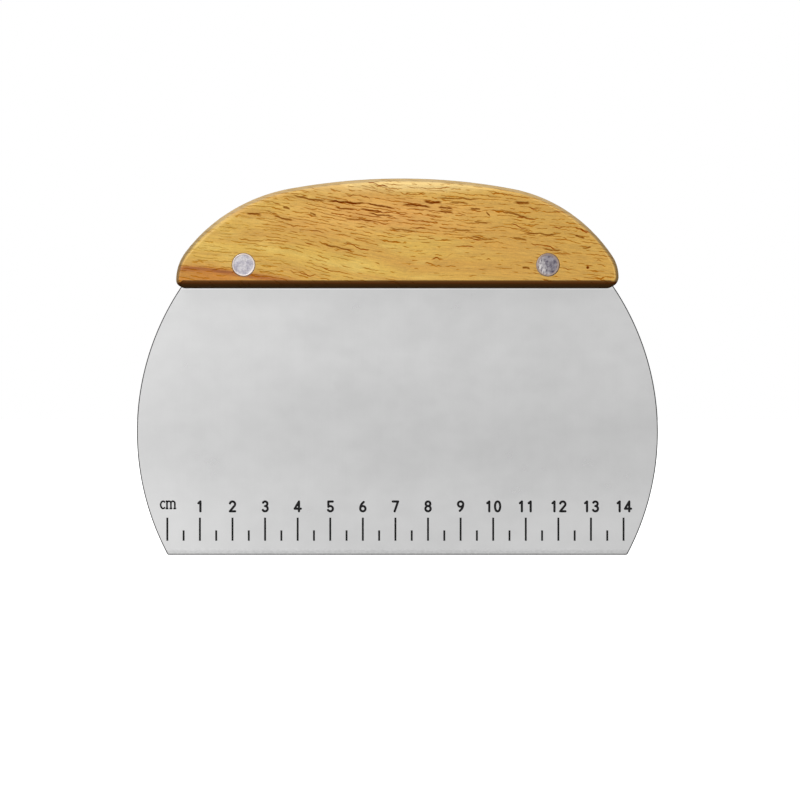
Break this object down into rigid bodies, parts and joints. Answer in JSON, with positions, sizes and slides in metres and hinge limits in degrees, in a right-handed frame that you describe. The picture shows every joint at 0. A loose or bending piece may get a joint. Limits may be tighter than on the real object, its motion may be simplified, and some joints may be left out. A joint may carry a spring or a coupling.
{
  "type": "bench scraper",
  "caption": "Bench scraper with a round-sided sheet-steel blade, a printed centimetre scale above its straight edge, and a half-moon wooden handle riveted over its tang.",
  "frame": {"origin": "middle of the working edge, on the mid-plane of the blade", "axes": "+X along the working edge, towards the high end of the scale; +Y from the printed face to the plain face; +Z from the working edge up to the handle"},
  "size_m": [0.16, 0.018, 0.1148],
  "materials": {
    "wood": "pale golden hardwood, sanded, with a satin lacquer",
    "steel": "stainless sheet with a fine satin finish",
    "rivet": "sanded flush with the wood, dull and scratched",
    "ink": "black printed ink"
  },
  "bodies": {
    "root": {"handle": "wood", "blade": "steel", "rivet_sleeve_left": "rivet", "rivet_sleeve_right": "rivet", "rivet_pin_left": "rivet", "rivet_pin_right": "rivet", "centimetre_marks": "ink", "half_centimetre_marks": "ink", "scale_numerals": "ink", "scale_unit": "ink"}
  },
  "joints": []
}
